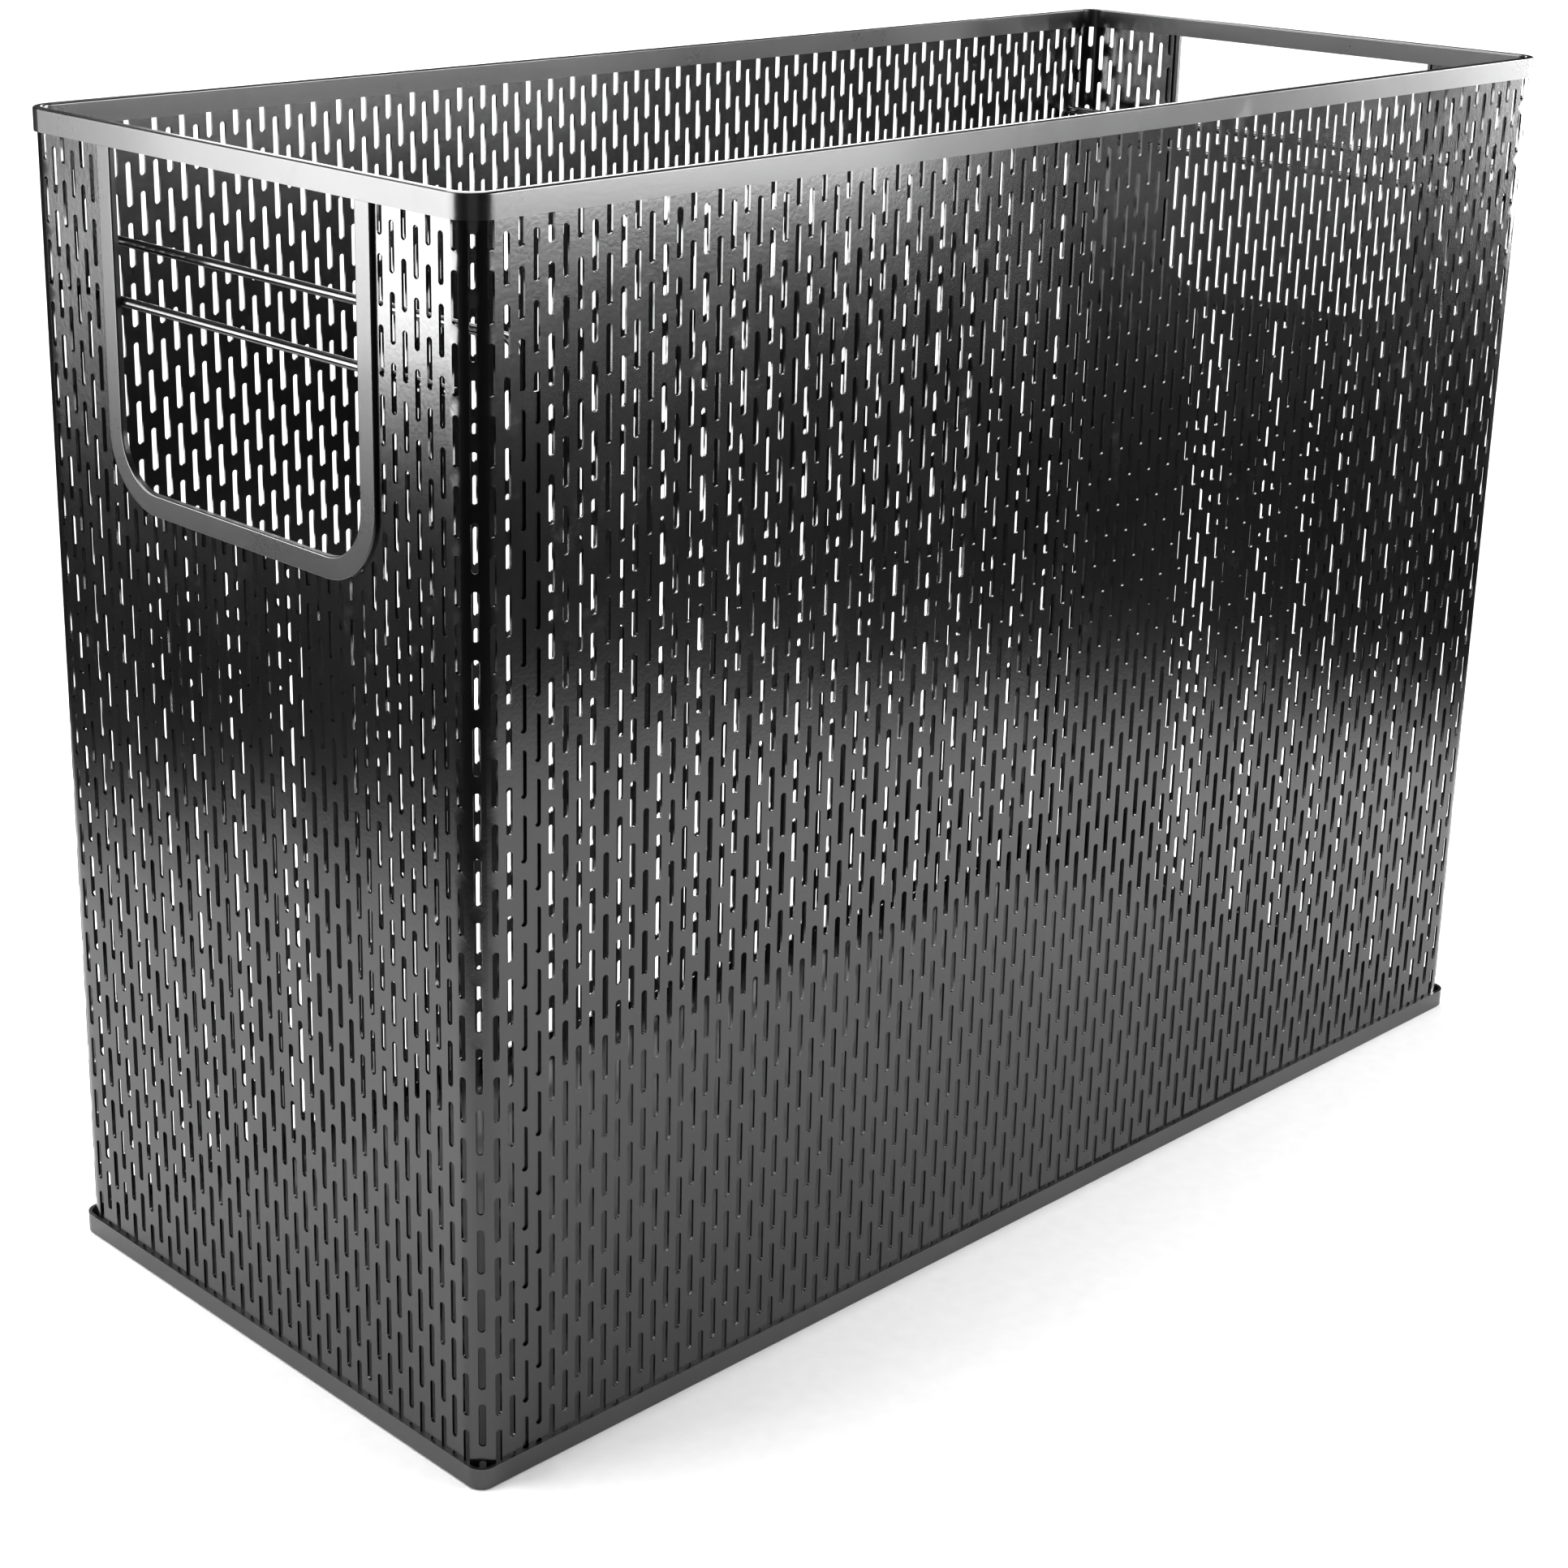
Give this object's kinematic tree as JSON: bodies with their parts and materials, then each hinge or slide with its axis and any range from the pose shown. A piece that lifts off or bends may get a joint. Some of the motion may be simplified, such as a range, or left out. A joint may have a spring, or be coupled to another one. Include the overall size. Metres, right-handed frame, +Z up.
{
  "type": "desktop hanging file box",
  "caption": "Open-topped box of slot-punched black steel with a folded rim, base pan, end hand windows and wire rails for hanging files.",
  "frame": {"origin": "on the floor, under the middle of the box", "axes": "+X along the long side, away from the end with the lap seam; +Y from the front wall to the back wall; +Z up"},
  "size_m": [0.3396, 0.1416, 0.254],
  "materials": {
    "punched_sheet": "glossy black enamel",
    "rim_paint": "glossy black enamel, slightly brighter at the folds",
    "pan_paint": "satin black enamel",
    "wire_paint": "glossy black enamel"
  },
  "bodies": {
    "root": {"wrap_front_wall": "punched_sheet", "wrap_back_wall": "punched_sheet", "wrap_left_end": "punched_sheet", "wrap_right_end": "punched_sheet", "wrap_front_left_bend": "punched_sheet", "wrap_front_right_bend": "punched_sheet", "wrap_back_left_bend": "punched_sheet", "wrap_back_right_bend": "punched_sheet", "wrap_lap_tab": "punched_sheet", "rim_channel": "rim_paint", "base_pan": "pan_paint", "left_window_trim": "rim_paint", "left_hanging_rail": "wire_paint", "left_window_brace": "wire_paint", "right_window_trim": "rim_paint", "right_hanging_rail": "wire_paint", "right_window_brace": "wire_paint"}
  },
  "joints": []
}
